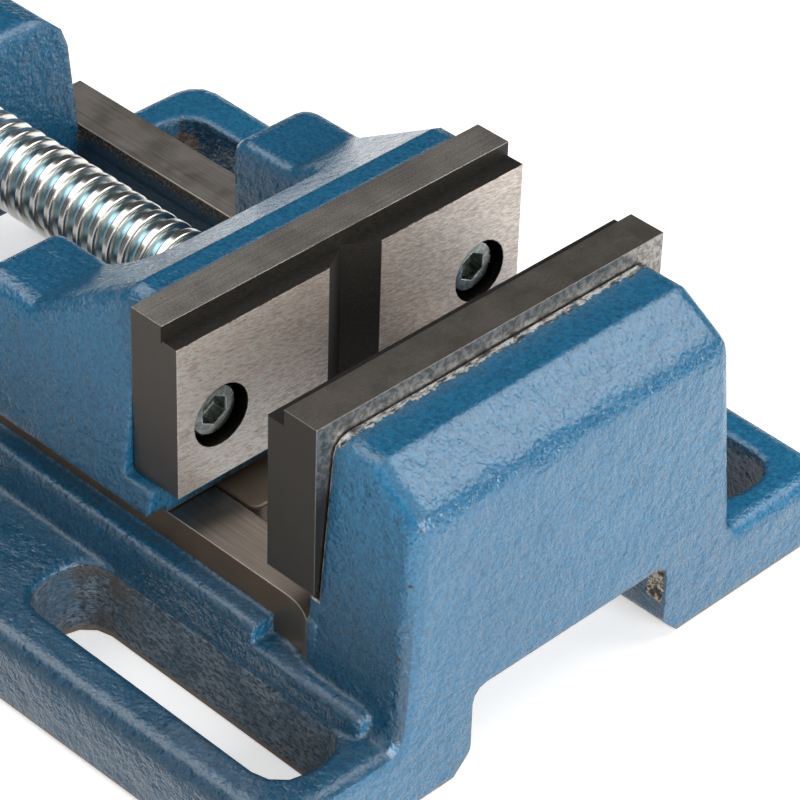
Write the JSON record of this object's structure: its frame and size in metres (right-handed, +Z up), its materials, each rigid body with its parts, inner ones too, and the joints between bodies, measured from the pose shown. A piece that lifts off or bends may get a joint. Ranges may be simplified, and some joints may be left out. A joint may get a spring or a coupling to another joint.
{
  "type": "drill press vise",
  "caption": "Low cast drill press vise with slotted foot flange, stepped steel jaw plates, vee groove, guided moving jaw, trapezoidal lead screw and sliding tommy bar.",
  "frame": {"origin": "centre of the overall outline seen from above, in the plane of the sole", "axes": "+X along the lead screw from the tommy bar towards the fixed jaw, +Y across the jaws, +Z up from the sole"},
  "size_m": [0.219, 0.1424, 0.0684],
  "materials": {
    "base_enamel": "glossy enamel over cast iron",
    "jaw_enamel": "glossy enamel over cast iron",
    "plate_steel": "ground and darkened",
    "screw_zinc": "zinc plated",
    "lead_screw_zinc": "bright zinc plated",
    "pin_steel": "ground",
    "keeper_steel": "black oxide",
    "bar_steel": "zinc plated",
    "knob_steel": "zinc plated"
  },
  "bodies": {
    "base": {"base_casting": "base_enamel", "fixed_jaw_plate": "plate_steel", "fixed_plate_screw_near": "screw_zinc", "fixed_plate_screw_far": "screw_zinc"},
    "jaw": {"moving_jaw": "jaw_enamel", "moving_jaw_plate": "plate_steel", "moving_plate_screw_near": "screw_zinc", "moving_plate_screw_far": "screw_zinc", "thrust_washer": "pin_steel", "screw_pin_near": "pin_steel", "screw_pin_far": "pin_steel", "keeper_plate": "keeper_steel", "keeper_bolt_near": "screw_zinc", "keeper_bolt_far": "screw_zinc", "keeper_washer_near": "screw_zinc", "keeper_washer_far": "screw_zinc"},
    "screw": {"lead_screw": "lead_screw_zinc"},
    "bar": {"tommy_bar": "bar_steel", "tommy_knob_near": "knob_steel", "tommy_knob_far": "knob_steel"}
  },
  "joints": [
    {"name": "jaw_travel", "type": "slide", "parent": "base", "child": "jaw", "axis": [1, 0, 0], "range_m": [-0.0495, 0.0212]},
    {"name": "screw_turn", "type": "hinge", "parent": "jaw", "child": "screw", "pos_m": [0.0255, 0, 0.0388], "axis": [1, 0, 0], "range_deg": [-4454, 1907]},
    {"name": "bar_slide", "type": "slide", "parent": "screw", "child": "bar", "axis": [0, 1, 0], "range_m": [-0.0335, 0.0335]}
  ],
  "couplings": [
    {"joint": "jaw_travel", "follows": "screw_turn", "m_per_rad": 0.00063662}
  ]
}
